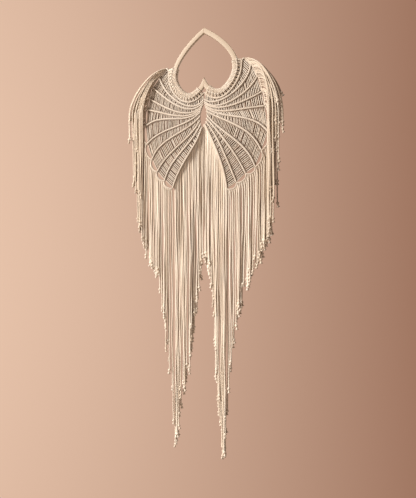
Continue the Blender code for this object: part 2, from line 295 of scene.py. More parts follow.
class Graph:
    """The node tree of a material or a world."""

    def __init__(self, owner: bpy.types.Material | bpy.types.World) -> None:
        """Gives the owner its first nodes, of which the shader is kept."""
        self.owner = owner
        owner.use_nodes = True
        self.tree = owner.node_tree
        self.shader = next(node for node in self.tree.nodes if node.type in SHADERS)

    def node(
        self, kind: str, settings: dict | None = None, inputs: dict | None = None, output: int | str = 0
    ) -> Value:
        """Adds a node.

        Args:
            kind: the node's type, such as ShaderNodeMath.
            settings: its properties, set before its sockets.
            inputs: a value or a link for each named or numbered socket.
            output: name or number of the socket to return.

        Returns:
            The output, ready for arithmetic.
        """
        made = self.tree.nodes.new(kind)
        for key, value in (settings or {}).items():
            setattr(made, key, value)
        for key, value in (inputs or {}).items():
            self.feed(made.inputs[key], value)
        return Value(self, made.outputs[output])

    def feed(self, socket: bpy.types.NodeSocket, value: object) -> None:
        """Sets a socket's value, or links an output to it."""
        if isinstance(value, Value):
            self.tree.links.new(value.socket, socket)
        else:
            socket.default_value = value

    def mix(self, share: object, dark: object, light: object) -> Value:
        """A colour between two, by a share from 0 to 1."""
        return self.node("ShaderNodeMix", {"data_type": "RGBA"}, {0: share, 6: dark, 7: light}, 2)

    def attribute(self, name: str) -> Value:
        """A number kept on the piece's own points."""
        return self.node("ShaderNodeAttribute", {"attribute_name": name}, output="Fac")

    def strand_place(self) -> tuple[Value, Value]:
        """Length along the cord in metres, and turn around it, from the piece's own UV map."""
        length = self.first_part(self.node("ShaderNodeUVMap", {"uv_map": UV_NAME}))
        return length, Value(self, length.socket.node.outputs[1])

    def first_part(self, vector: Value) -> Value:
        """The first number of a vector."""
        return self.node("ShaderNodeSeparateXYZ", inputs={0: vector})

    def vector(self, x: object, y: object, z: object = 0.0) -> Value:
        """A vector of three numbers."""
        return self.node("ShaderNodeCombineXYZ", inputs={0: x, 1: y, 2: z})

    def noise(self, place: Value, scale: float, detail: float = 2.0) -> Value:
        """Smooth noise from 0 to 1 over a place."""
        inputs = {"Vector": place, "Scale": scale, "Detail": detail}
        return self.node("ShaderNodeTexNoise", inputs=inputs)

    def bump(self, height: Value, strength: float, distance: float) -> Value:
        """A normal that leans as a surface with this height would."""
        inputs = {"Strength": strength, "Distance": distance, "Height": height}
        return self.node("ShaderNodeBump", inputs=inputs)

    def finish(self, **sockets: object) -> bpy.types.Material | bpy.types.World:
        """Feeds the shader's sockets, named with _ for a space, and returns the owner."""
        for key, value in sockets.items():
            self.feed(self.shader.inputs[key.replace("_", " ")], value)
        return self.owner


class Value:
    """An output socket, whose arithmetic adds Math nodes."""

    def __init__(self, graph: Graph, socket: bpy.types.NodeSocket) -> None:
        """Wraps a socket of a graph."""
        self.graph = graph
        self.socket = socket

    def maths(self, operation: str, *numbers: object) -> Value:
        """A Math node of this operation on these numbers or outputs."""
        inputs = dict(enumerate(numbers))
        return self.graph.node("ShaderNodeMath", {"operation": operation}, inputs)

    def __add__(self, other: object) -> Value:
        """self + other."""
        return self.maths("ADD", self, other)

    __radd__ = __add__

    def __mul__(self, other: object) -> Value:
        """self * other."""
        return self.maths("MULTIPLY", self, other)

    __rmul__ = __mul__

    def __sub__(self, other: object) -> Value:
        """self - other."""
        return self.maths("SUBTRACT", self, other)

    def __rsub__(self, other: object) -> Value:
        """other - self."""
        return self.maths("SUBTRACT", other, self)

    def __pow__(self, other: object) -> Value:
        """self ** other."""
        return self.maths("POWER", self, other)

    def sine(self) -> Value:
        """Sine of an angle in radians."""
        return self.maths("SINE", self)

    def size(self) -> Value:
        """The value without its sign."""
        return self.maths("ABSOLUTE", self)

    def clamped(self) -> Value:
        """The value held between 0 and 1."""
        return self.maths("MINIMUM", self.maths("MAXIMUM", self, 0.0), 1.0)

    def over(self, low: float, high: float) -> Value:
        """0 below low, 1 above high, and straight between."""
        return ((self - low) * (1 / (high - low))).clamped()


@dataclass(frozen=True)
class CottonFinish:
    """Undyed cotton cord: matt and fluffy, softly twisted, with warm painted shade in its creases."""

    # deep is the colour of the painted shade in creases and at the ends of cords.
    deep: tuple[float, ...] = (0.095, 0.047, 0.021, 1)
    dull: tuple[float, ...] = (0.66, 0.525, 0.38, 1)
    bright: tuple[float, ...] = (0.87, 0.79, 0.68, 1)
    lay: float = 13 * MM
    plies: int = 3
    fibre_length: float = 6 * MM
    fibres_round: float = 7
    blotches: float = 14.0
    # How far the marked creases and the grooves between the plies are painted towards the shade colour.
    most_painted_shade: float = 0.95
    ply_painted_shade: float = 0.1
    bump: float = 0.35
    relief: float = 0.35 * MM
    roughness: float = 0.82
    sheen: float = 0.35
    sheen_roughness: float = 0.45
    gloss: float = 0.18

    def material(self, name: str) -> bpy.types.Material:
        """Builds the finish: plies that wind along each cord, fibres that lie along the plies, and painted
        shade in creases and between plies.
        """
        graph = Graph(bpy.data.materials.new(name))
        length, turn = graph.strand_place()
        winding = length * (1 / self.lay) + turn * self.plies
        ply = (winding * math.pi).sine().size()
        fibres = winding * (self.fibres_round / self.plies)
        fibre = graph.noise(graph.vector(length * (1 / self.fibre_length), fibres), 1.0)
        blotch = graph.noise(graph.node("ShaderNodeTexCoord", output="Object"), self.blotches)
        tone = graph.attribute("tone")
        painted_shade = graph.attribute("painted_shade")
        # Tone, fibres and blotches are the cord's own; the crowns of the plies come out a little lighter as
        # painted light.
        light = tone * 0.55 + fibre * 0.3 + blotch * 0.35 + ply * 0.1 - 0.12
        colour = graph.mix(light.clamped(), self.dull, self.bright)
        # Painted shade: the marked creases and the grooves between the plies are mixed towards the deep
        # shade colour.
        crease = (painted_shade * self.most_painted_shade + (1 - ply) ** 3 * self.ply_painted_shade).clamped()
        return graph.finish(
            Base_Color=graph.mix(crease, colour, self.deep),
            Roughness=fibre * 0.12 + self.roughness,
            Sheen_Weight=self.sheen,
            Sheen_Roughness=self.sheen_roughness,
            Specular_IOR_Level=self.gloss,
            Normal=graph.bump(ply + fibre * 0.35, self.bump, self.relief),
        )


@dataclass(frozen=True)
class WoodFinish:
    """Pale sanded wood whose grain follows the hoop."""

    dark: tuple[float, ...] = (0.43, 0.325, 0.225, 1)
    pale: tuple[float, ...] = (0.6, 0.495, 0.375, 1)
    joint: tuple[float, ...] = (0.22, 0.12, 0.06, 1)
    joint_width: float = 0.35 * MM
    band_grain: tuple = (7, 330)
    fibre_grain: tuple = (60, 2600)
    pore_grain: tuple = (220, 3600)
    pore_edge: tuple = (0.62, 0.74)
    bump: float = 0.35
    relief: float = 0.15 * MM
    roughness: float = 0.62
    gloss: float = 0.35

    def material(self, name: str) -> bpy.types.Material:
        """Builds the finish: long fibres, broad bands, small pores and the glued joint at x = 0."""
        graph = Graph(bpy.data.materials.new(name))
        length, across = graph.strand_place()

        def grain(scales: tuple, detail: float) -> Value:
            """Noise stretched along the grain: its scales per metre along the hoop and around it."""
            return graph.noise(graph.vector(length * scales[0], across * scales[1]), 1.0, detail)

        bands = grain(self.band_grain, 3.0)
        fibres = grain(self.fibre_grain, 2.0)
        pores = grain(self.pore_grain, 1.0).over(*self.pore_edge)
        light = (bands * 0.9 + fibres * 0.45 - 0.18 - pores * 0.35).clamped()
        x = graph.first_part(graph.node("ShaderNodeTexCoord", output="Object"))
        joint = 1 - x.size().over(self.joint_width, 2 * self.joint_width)
        height = bands * 0.4 + fibres * 0.6 - pores * 0.8 - joint
        return graph.finish(
            Base_Color=graph.mix(joint, graph.mix(light, self.dark, self.pale), self.joint),
            Roughness=self.roughness - fibres * 0.15,
            Specular_IOR_Level=self.gloss,
            Normal=graph.bump(height, self.bump, self.relief),
        )


# ------------------------------------------------------------------------------------------ hoop


@dataclass(frozen=True)
class HeartHoop:
    """The flat wooden heart that hangs tip up, in two halves mitred at the tip and the cusp."""

    width: float = 13.5 * MM
    thickness: float = 8 * MM
    rounding: float = 1.3 * MM
    stations: int = 120
    stretch_steps: int = 48
    corner_points: int = 4
    sharp_deg: float = 40
    stretches: tuple = (
        ((0, 7.7), (45, -19), (98, -67), (98, -112)),
        ((98, -112), (98, -142), (68, -177), (46, -177)),
        ((46, -177), (26, -177), (8, -158), (0, -142)),
    )

    def line(self) -> Array:
        """X, Z points of the right half's centre line, from the tip to the cusp."""
        parts = [bezier(*stretch, self.stretch_steps) * MM for stretch in self.stretches]
        return np.concatenate([parts[0], parts[1][1:], parts[2][1:]])

    def offset(self, distance: float) -> Array:
        """The line this far outside the centre line, cut or carried on to x = 0 at both ends."""
        line = self.line()
        line = line + outward_normals(line) * distance
        line = line[line[:, 0] > 0]
        ends = []
        for near, next_one in ((line[0], line[1]), (line[-1], line[-2])):
            ends.append(near + (near - next_one) * near[0] / (next_one[0] - near[0]))
        return np.concatenate([[ends[0]], line, [ends[1]]])

    def section(self) -> Array:
        """Distance out and depth of the section's points, a rectangle with round corners."""
        angle = np.linspace(0, math.pi / 2, self.corner_points)
        starts = np.arange(4) * math.pi / 2
        half = np.array([self.width / 2, self.thickness / 2]) - self.rounding
        corners = np.array([(1, 1), (-1, 1), (-1, -1), (1, -1)]) * half
        turns = starts[:, None] + angle
        round_part = self.rounding * np.stack([np.cos(turns), np.sin(turns)], axis=-1)
        return (corners[:, None] + round_part).reshape(-1, 2)

    def build(self, material: bpy.types.Material) -> bpy.types.Object:
        """Lofts the section's points along their own offset lines, down one half and up the other."""
        section = self.section()
        shares = np.linspace(0, 1, self.stations)
        rails = [self.offset(out) for out, _ in section]
        places = [along(rail, shares * run_lengths(rail)[-1]) for rail in rails]
        half = stood(np.stack(places, axis=1), section[:, 1])
        other = half[-2:0:-1] * (-1, 1, 1)
        grid = np.concatenate([half, other])[None]
        middle = grid.mean(axis=2, keepdims=True)
        runs = run_lengths(np.concatenate([middle[0, :, 0], middle[0, :1, 0]]))
        girth = run_lengths(np.concatenate([section, section[:1]]))
        uv = np.stack(np.broadcast_arrays(runs[None, :, None], girth), axis=-1)
        skein = Skein("heart_hoop", Slot.WOOD, ("heart_frame",))
        skein.add(grid[:, :, ::-1], uv, np.ones(1), np.zeros(1), ring=True)
        piece = skein.build(material)
        piece.data.set_sharp_from_angle(angle=math.radians(self.sharp_deg))
        return piece


# ------------------------------------------------------------------------------------- wing plan


class Rib(NamedTuple):
    """A later rib: root height on the seam, and tip, with the directions it leaves and arrives in."""

    root_z: float
    leave_deg: float
    tip_x: float
    tip_z: float
    arrive_deg: float


RIBS = {
    Side.RIGHT: (
        Rib(-190, -42, 141, -113, 86),
        Rib(-196, -48, 160, -149, 60),
        Rib(-202, -38, 174, -193, 24),
        Rib(-208, -42, 183, -235, -4),
        Rib(-214, -42, 193, -307, -56),
        Rib(-226, -34, 176, -357, -68),
        Rib(-236, -54, 159, -400, -72),
        Rib(-247, -48, 132, -416, -64),
        Rib(-256, -51, 105, -439, -68),
        Rib(-264, -62, 77, -455, -84),
    ),
    Side.LEFT: (
        Rib(-191, -54, 149, -103, 74),
        Rib(-198, -48, 175, -129, 40),
        Rib(-205, -52, 184, -164, 30),
        Rib(-213, -45, 193, -197, 12),
        Rib(-220, -45, 194, -249, -36),
        Rib(-226, -44, 185, -305, -44),
        Rib(-240, -48, 166, -354, -68),
        Rib(-252, -62, 147, -392, -60),
        Rib(-262, -68, 122, -420, -72),
        Rib(-272, -75, 95, -444, -72),
    ),
}
FIRST_RIB_TIPS = {Side.RIGHT: (124, -94), Side.LEFT: (127, -82)}

# The fringe's hem: distance from the seam and height of the knots, from the seam over the point to the rim.
HEMS = {
    Side.RIGHT: (
        (0, -632), (22, -700), (33, -850), (46, -1040), (56, -1150), (60, -1205), (67, -1206), (71, -1120),
        (84, -955), (103, -810), (130, -722), (170, -640), (203, -570), (216, -510), (226, -430),
        (236, -350),
    ),
    Side.LEFT: (
        (0, -632), (22, -765), (52, -980), (74, -1060), (82, -1160), (86, -1186), (96, -1190),
        (100, -1090), (106, -975), (132, -790), (146, -700), (180, -645), (206, -570), (232, -490),
        (245, -450), (254, -390),
    ),
}


@dataclass(frozen=True)
class WingPlan:
    """Lines of one wing, seen from the front, and how far the wing leans out of its flat."""

    side: Side
    hoop: HeartHoop
    cord: float = 4 * MM
    heading_gap: float = 1.1 * MM
    rib_radius: float = 4.3 * MM
    handle: float = 0.36  # length of a rib's Bezier handles, as a share of its chord
    rib_steps: int = 60
    root_clear: tuple = (0.25, 0.65)  # a root's gap in rib radii, and how much more at the widest slit
    free_handle: float = 0.55
    free_steps: int = 14
    leaves_z: float = -116 * MM  # where the first rib leaves the heading
    crook: tuple = (-11 * MM, 3 * MM)  # the first rib's last handle, from its tip
    closed_loops: int = 5  # upper loops, which lie close to the strands
    closed_bulge: float = 1 * MM
    open_bulge: float = 8.5 * MM
    loop_steps: int = 20
    slit_top: float = -202 * MM
    slit_bottom: float = -277 * MM
    slit_half_width: float = 7 * MM
    billow: float = 3 * MM  # forward, in the middle of a rib
    lean: float = 16 * MM
    lean_top: float = -190 * MM
    lean_bottom: float = -400 * MM

    def depth(self, z: Array) -> Array:
        """Depth of the wing at these heights: a quarter sine from the lean's top to its bottom."""
        share = np.clip((z - self.lean_top) / (self.lean_bottom - self.lean_top), 0, 1)
        return -self.lean * np.sin(math.pi / 2 * share)

    def slit(self, z: float) -> float:
        """Half the width of the slit in the seam at this height, half a sine from end to end."""
        share = (self.slit_top - z) / (self.slit_top - self.slit_bottom)
        return self.slit_half_width * math.sin(math.pi * share) if 0 < share < 1 else 0.0

    def first_rib(self) -> Array:
        """The rib that follows the heading round the lobe, and leaves it for its tip on a Bezier curve."""
        line = self.hoop.line()
        reach = self.hoop.width / 2 + self.cord + self.heading_gap + self.rib_radius
        edge = (line + outward_normals(line) * reach)[::-1]
        edge = edge[edge[:, 0] > 0]
        hugging = edge[: np.argmax(edge[:, 1] > self.leaves_z)]
        tip = np.array(FIRST_RIB_TIPS[self.side]) * MM
        leaving = hugging[-1] - hugging[-2]
        pull = np.linalg.norm(tip - hugging[-1]) * self.free_handle * unit(leaving)
        free = bezier(hugging[-1], hugging[-1] + pull, tip + self.crook, tip, self.free_steps)
        return np.concatenate([hugging, free[1:]])

    def later_rib(self, rib: Rib) -> Array:
        """A Bezier curve from the seam to the rib's tip, in its two directions.

        The root stands off the seam, or off the slit where there is one, by a part of the rib's radius.
        """
        leave, arrive = math.radians(rib.leave_deg), math.radians(rib.arrive_deg)
        root_z = rib.root_z * MM
        slit = self.slit(root_z)
        clear = self.root_clear[0] + self.root_clear[1] * slit / self.slit_half_width
        root = np.array([clear * self.rib_radius * abs(math.sin(leave)) + slit, root_z])
        tip = np.array([rib.tip_x, rib.tip_z]) * MM
        pull = self.handle * np.linalg.norm(tip - root)
        out = root + pull * np.array([math.cos(leave), math.sin(leave)])
        back = tip - pull * np.array([math.cos(arrive), math.sin(arrive)])
        return bezier(root, out, back, tip, self.rib_steps)

    def ribs(self) -> list[Array]:
        """X, Z lines of all of the wing's ribs, top to bottom."""
        return [self.first_rib()] + [self.later_rib(rib) for rib in RIBS[self.side]]

    def scallop(self, rib: Array, next_rib: Array, bulge: float) -> Array:
        """The loop that carries on from a rib's tip, swings outwards and meets the next rib's tip.

        A Bezier curve's middle lies three quarters of its handles' swing off the chord, so the handles
        swing out by the bulge over 0.75. The first one also follows the rib's own direction.

        Args:
            rib: the rib that it comes from.
            next_rib: the rib that it meets.
            bulge: how far it swings outside the straight line between the tips.

        Returns:
            X, Z points of a Bezier curve.
        """
        chord = next_rib[-1] - rib[-1]
        reach = np.linalg.norm(chord)
        swell = bulge / 0.75 * np.array([-chord[1], chord[0]]) / reach
        arriving = unit(rib[-1] - rib[-3])
        out = rib[-1] + 0.85 * swell + 0.16 * reach * arriving + 0.08 * chord
        return bezier(rib[-1], out, next_rib[-1] + swell - 0.16 * chord, next_rib[-1], self.loop_steps)

    def scallops(self) -> list[Array]:
        """The loops between the ribs' tips, top to bottom: the upper ones lie close to the strands."""
        ribs = self.ribs()
        bulges = [self.closed_bulge] * self.closed_loops + [self.open_bulge] * len(ribs)
        return [self.scallop(a, b, bulge) for a, b, bulge in zip(ribs, ribs[1:], bulges)]

    def placed(self, line: Array, shares: Array) -> Array:
        """X, Y, Z points of a line on the wing, which billows by a squared sine along each rib."""
        billow = self.billow * np.sin(math.pi * shares) ** 2
        return stood(line, self.depth(line[..., 1]) - billow)

    def to_side(self, points: Array) -> Array:
        """Points with x counted outwards, put on the wing's own side."""
        return points * (self.side.value, 1, 1)

    def hem(self, x: Array) -> Array:
        """Height of the fringe's hem at these distances from the seam."""
        table = np.array(HEMS[self.side], float) * MM
        return np.interp(x, table[:, 0], table[:, 1])


# --------------------------------------------------------------------------------------- knotwork


# Painted shade of the six points around a cord of a back layer: its front is painted dark as the
# knotwork's shade, and its back is left as light as any cord.
BACK_LAYER_PAINTED_SHADE = np.array([1, 1, 1, 1, 0, 0])
BACK_SIDES = len(BACK_LAYER_PAINTED_SHADE)


@dataclass(frozen=True)
class Heading:
    """Lark's head knots round one lobe of the hoop, and the legs that run on to the first rib.

    Places along the wood, such as those of a knot's turns and legs, are in knots from its middle.
    """

    plan: WingPlan
    top_z: float
    cusp_x: float = 13 * MM
    knot_pitch: float = 8.1 * MM
    cord_radius: float = 1.95 * MM
    corner: float = 5.0  # power of the superellipse: square with round corners
    turn_points: int = 28
    turns_at: tuple = (-0.25, 0.25)
    snug: float = 0.95  # from the wood to a turn's middle, in cord radii
    turn_tones: tuple = (0.35, 0.9)
    turn_flank_shade: float = 0.35
    bight_reach: float = 0.46  # half a bight, in knots
    bight_points: int = 11
    bight_radius: float = 0.92
    bight_tones: tuple = (0.5, 1)
    legs_at: tuple = (-0.18, 0.18)
    leg_points: int = 6
    leg_radius: float = 0.8
    behind: float = 3.4 * MM  # from the legs to the back layer, whose front is painted dark as shade

    def build(self, material: bpy.types.Material, dice: np.random.Generator) -> bpy.types.Object:
        """Wraps every knot's two turns, bight and two legs.

        A turn is a superellipse about the wood's section, with painted shade on its outer side. A bight is
        an arch in front of both turns, at the wood's outer edge. A leg is a straight cord from under the
        bight to the first rib, and a short cord of the back layer, painted dark on its front as shade,
        stands behind each gap between two legs.

        Args:
            material: the cotton finish.
            dice: the source of the cords' small differences.

        Returns:
            The finished piece.
        """
        plan, hoop = self.plan, self.plan.hoop
        line = hoop.line()
        start = np.argmax(line[:, 1] < self.top_z)
        stop = len(line) - np.argmax(line[::-1, 0] > self.cusp_x)
        wrapped = line[start:stop]
        length = run_lengths(wrapped)[-1]
        knots = round(length / self.knot_pitch)
        centres = (np.arange(knots) + 0.5) * length / knots
        skein = Skein(f"{plan.side.word}_larks_heads", Slot.COTTON, (f"{plan.side.word}_heading",))

        turns = (centres[:, None] + np.array(self.turns_at) * self.knot_pitch).ravel()
        spot, out, way = self.local(wrapped, turns)
        angle = np.linspace(0, 2 * math.pi, self.turn_points, endpoint=False)
        power = 2 / self.corner
        reach = np.sign(np.cos(angle)) * np.abs(np.cos(angle)) ** power
        rise = np.sign(np.sin(angle)) * np.abs(np.sin(angle)) ** power
        half_out = hoop.width / 2 + self.snug * self.cord_radius
        half_deep = hoop.thickness / 2 + self.snug * self.cord_radius
        path = spot[:, None] + out[:, None] * (reach * half_out)[:, None]
        path = path + np.array([0, 1, 0]) * (rise * half_deep)[:, None]
        radius = self.cord_radius * dice.uniform(0.96, 1.03, (len(turns), 1)) * np.ones(len(angle))
        tone = dice.uniform(*self.turn_tones, len(turns))
        # Painted shade on each turn's outer side, between the legs.
        outer_painted_shade = np.clip(4 * reach - 3, 0, 1)[:, None]
        skein.add_cords(
            plan.to_side(path), radius, plan.to_side(way)[:, None], tone, ring=True,
            flank_shade=self.turn_flank_shade, shade=outer_painted_shade,
        )

        spot, out, way = self.local(wrapped, centres)
        t = np.linspace(-1, 1, self.bight_points)[:, None]
        sideways = way[:, None] * (t * self.bight_reach * self.knot_pitch)
        forward = TO_VIEWER * (half_deep + 0.75 * self.cord_radius * (1 - t**4) - 0.5 * MM)
        outside = out[:, None] * (hoop.width / 2 - 1.6 * MM + 0.8 * MM * (1 - t**2))
        path = spot[:, None] + sideways + forward + outside
        radius = self.cord_radius * self.bight_radius * np.ones(path.shape[:2])
        tone = dice.uniform(*self.bight_tones, len(centres))
        skein.add_cords(
            plan.to_side(path), radius, plan.to_side(out)[:, None], tone,
            flank_shade=self.turn_flank_shade, ends=1,
        )

        legs = (centres[:, None] + np.array(self.legs_at) * self.knot_pitch).ravel()
        spot, out, way = self.local(wrapped, legs)
        begin = spot + out * (hoop.width / 2 - 1.4 * MM) - np.array([0, half_deep + 0.4 * MM, 0])
        rib = plan.first_rib()
        dense = along(rib, np.linspace(0, run_lengths(rib)[-1], 400))
        gaps = np.linalg.norm(dense[None] - (spot + out * hoop.width)[:, None, [0, 2]], axis=-1)
        end = stood(dense[np.argmin(gaps, axis=1)], -1.0 * MM)
        t = np.linspace(0, 1, self.leg_points)[:, None]
        path = begin[:, None] + (end - begin)[:, None] * t
        radius = self.cord_radius * self.leg_radius * np.ones(path.shape[:2])
        tone = dice.uniform(*self.turn_tones, len(legs))
        skein.add_cords(plan.to_side(path), radius, plan.to_side(way)[:, None], tone, ends=0.5)
        # A back layer of short cords, painted dark on their front, puts shade behind each gap between two
        # legs.
        between = (path[1::2][:-1] + path[2::2]) / 2 + (0, self.behind, 0)
        count = len(between)
        skein.add_cords(
            plan.to_side(between), radius[:count], plan.to_side(way)[:count, None], np.zeros(count),
            BACK_SIDES, flank_shade=1, ends=0.8, shade=BACK_LAYER_PAINTED_SHADE,
        )
        return skein.build(material)

    def local(self, wrapped: Array, distances: Array) -> tuple[Array, Array, Array]:
        """Centre point, outward direction and direction of travel of the wood at these distances."""
        runs = run_lengths(wrapped)
        normal = outward_normals(wrapped)
        out = unit(np.stack([np.interp(distances, runs, c) for c in normal.T], axis=-1))
        way = np.stack([out[:, 1], -out[:, 0]], axis=1)
        return stood(along(wrapped, distances), 0.0), stood(out, 0.0), stood(way, 0.0)


@dataclass(frozen=True)
class Hitches:
    """A bar covered with hitches: a filler cord with turns of cord packed side by side on it.

    The dips and the painted shade in the creases are those of a turn's four rows, from 1 in the crease
    to 0 on the crown; the bar's sides get painted shade too.
    """

    pitch: float = 2.9 * MM
    tilt: float = 0.45  # how far a row is ahead at the bar's side, in radii
    dip: float = 0.88
    dips: tuple = (1, 0.28, 0, 0.28)
    sides: int = 12
    rounding: float = 3 * MM
    # Painted shade in the creases between turns and on the bar's sides.
    shade: float = 0.75
    creases: tuple = (1, 0.12, 0, 0.12)
    flank_shade: float = 0.9
    uv_step: float = 37 * MM  # so that turns differ in their fibres

    def add(self, skein: Skein, path: Array, girth: Array, tone: float) -> None:
        """Adds one bar.

        Four rows make a turn of cord: a crease, a shoulder, the crown and a shoulder, at a part of the
        bar's radius for each. A row is tilted, so that it crosses the front of the bar aslant: a point at
        the angle a sits at the row's distance plus the tilt times the radius times the cosine of a. The
        tilt dies away at the ends, which are rounded as a quarter circle.

        Args:
            skein: what the bar is added to.
            path: X, Y, Z points of the filler cord.
            girth: two or more radii, spread evenly over the path.
            tone: the bar's tone.
        """
        length = run_lengths(path)[-1]
        turns = max(2, round(length / self.pitch))
        rows = 4 * turns + 1
        base = np.linspace(0, length, rows)[:, None]
        angle = np.linspace(0, 2 * math.pi, self.sides, endpoint=False)
        radius = np.interp(base, np.linspace(0, length, len(girth)), girth)
        ends = np.clip(np.minimum(base, length - base) / self.rounding, 0, 1)
        radius = radius * np.sqrt(1 - 0.9 * (1 - ends) ** 2)
        distance = np.clip(base + self.tilt * ends * radius * np.cos(angle), 0, length)
        spot = along(path, distance)
        nudge = 0.5 * MM
        way = unit(along(path, distance + nudge) - along(path, distance - nudge))
        across = unit(np.cross(TO_VIEWER, way))
        up = np.cross(way, across)
        place = np.arange(rows) % 4
        crown = 1 - (1 - self.dip) * np.array(self.dips)[place][:, None]
        spokes = np.cos(angle)[:, None] * across + np.sin(angle)[:, None] * up
        grid = spot + (radius * crown)[..., None] * spokes
        # Painted shade in the creases between turns and on the bar's sides.
        painted_shade = self.shade * np.array(self.creases)[place][:, None]
        painted_shade = np.maximum(painted_shade, self.flank_shade * np.abs(np.cos(angle)) ** FLANK_FADE)
        turn = np.broadcast_to(np.arange(rows)[:, None] / 8, (rows, self.sides + 1))
        girths = np.broadcast_to(radius, (rows, 1)) * np.linspace(0, 2 * math.pi, self.sides + 1)
        uv = np.stack([girths + turn * self.uv_step, turn], axis=-1)
        skein.add(grid[None], uv[None], np.array([tone]), painted_shade[None])


@dataclass(frozen=True)
class Wing:
    """Ribs of double half hitches, bare strands between them and scallop loops between their tips."""

    plan: WingPlan
    strand_pitch: float = 5.3 * MM
    strand_radius: float = 1.42 * MM
    strand_points: int = 7
    strand_tones: tuple = (0.3, 1)
    back_radius: float = 1.5 * 1.42 * MM
    rib_radius: float = 3.4 * MM
    rib_girths: tuple = (0.92, 0.97, 0.97, 0.9)
    rib_tones: tuple = (0.5, 0.8)
    root_radius: float = 2.8 * MM
    scallop_radius: float = 2.5 * MM
    scallop_girths: tuple = (1.15, 1, 0.95, 1, 1.1)
    scallop_tones: tuple = (0.35, 0.65)
    inset: float = 2.5 * MM  # from the last strand to the rib's tip
    least_span: float = 5.4 * MM  # ribs that lie closer have no strands between them
    recess: float = 1.2 * MM  # from the ribs' middle to the front layer
    behind: float = 2.7 * MM  # from the front layer to the back one, whose front is painted dark as shade

    def build(self, material: bpy.types.Material, dice: np.random.Generator) -> None:
        """Builds the wing's three pieces, which stand for its one node."""
        self.build_ribs(material, dice)
        self.build_bare_strands(material, dice)
        self.build_scallops(material, dice)

    def build_ribs(self, material: bpy.types.Material, dice: np.random.Generator) -> bpy.types.Object:
        """One bar of hitches for each rib, slimmer at the seam."""
        word = self.plan.side.word
        skein = Skein(f"{word}_ribs", Slot.COTTON, (f"{word}_wing",))
        hitches = Hitches()
        girth = np.concatenate([[self.root_radius], np.array(self.rib_girths) * self.rib_radius])
        for line in self.plan.ribs():
            shares = run_lengths(line) / run_lengths(line)[-1]
            path = self.plan.to_side(self.plan.placed(line, shares))
            hitches.add(skein, path, girth, dice.uniform(*self.rib_tones))
        return skein.build(material)

    def build_bare_strands(
        self, material: bpy.types.Material, dice: np.random.Generator
    ) -> bpy.types.Object:
        """Strands from each rib to the next, in a front layer and a back one.

        A strand joins equal shares of both ribs. It is bowed a little forward, by half a sine. The back
        layer lies in the gaps of the front one, with its front painted dark as the shade seen through them,
        and its ends turn forward into the ribs.

        Args:
            material: the cotton finish.
            dice: the source of the strands' small differences.

        Returns:
            The finished piece.
        """
        word = self.plan.side.word
        skein = Skein(f"{word}_bare_strands", Slot.COTTON, (f"{word}_wing",))
        ribs = self.plan.ribs()
        t = np.linspace(0, 1, self.strand_points)[:, None]
        bow = np.sin(math.pi * t)
        for upper, lower in zip(ribs, ribs[1:]):
            strands = round((run_lengths(upper)[-1] + run_lengths(lower)[-1]) / 2 / self.strand_pitch)
            even = np.linspace(0.02, 1, strands)
            shares = np.minimum(even + dice.normal(0, 0.12, strands) / strands, 1)
            path = self.spans(upper, lower, shares, t) + (0, self.recess, 0)
            count = len(path)
            swing = dice.normal(0, 0.5 * MM, (count, 1, 1)) * np.array([1, 0, 0])
            rise = dice.uniform(-0.6, 1.0, (count, 1, 1)) * MM * np.array([0, -1, 0])
            path = path + bow * (swing + rise)
            radius = self.strand_radius * dice.uniform(0.93, 1.05, (count, 1)) * np.ones(len(t))
            tone = dice.uniform(*self.strand_tones, count)
            # Painted shade on the front strands' sides and ends, and a little more at random.
            skein.add_cords(
                self.plan.to_side(path), radius, TO_VIEWER, tone,
                flank_shade=1, ends=1, shade=dice.uniform(0, 0.1, (count, 1, 1)),
            )
            # The back layer, painted dark on its front as the shade seen through the gaps of the front one.
            middles = (even[1:] + even[:-1]) / 2
            back = self.spans(upper, lower, middles, t[::2])
            back = back + np.minimum(1, 1.6 * bow[::2]) * (0, self.recess + self.behind, 0)
            radius = self.back_radius * np.ones(back.shape[:2])
            skein.add_cords(
                self.plan.to_side(back), radius, TO_VIEWER, np.zeros(len(back)), BACK_SIDES,
                flank_shade=1, ends=0.8, shade=BACK_LAYER_PAINTED_SHADE,
            )
        return skein.build(material)

    def spans(self, upper: Array, lower: Array, shares: Array, t: Array) -> Array:
        """Straight lines between two ribs at these shares of both, where the ribs lie apart."""
        lengths = [run_lengths(line)[-1] - self.inset for line in (upper, lower)]
        top, foot = along(upper, shares * lengths[0]), along(lower, shares * lengths[1])
        kept = np.linalg.norm(foot - top, axis=1) > self.least_span
        top, foot = (self.plan.placed(line, shares)[kept] for line in (top, foot))
        return top[:, None] + (foot - top)[:, None] * t

    def build_scallops(self, material: bpy.types.Material, dice: np.random.Generator) -> bpy.types.Object:
        """One bar of hitches for each loop between two ribs' tips."""
        word = self.plan.side.word
        skein = Skein(f"{word}_scallop_loops", Slot.COTTON, (f"{word}_wing",))
        hitches = Hitches(pitch=3.1 * MM, sides=10)
        girth = np.array(self.scallop_girths) * self.scallop_radius
        for line in self.plan.scallops():
            path = self.plan.to_side(self.plan.placed(line, np.zeros(len(line))))
            hitches.add(skein, path, girth, dice.uniform(*self.scallop_tones))
        return skein.build(material)


# ----------------------------------------------------------------------------------------- fringe


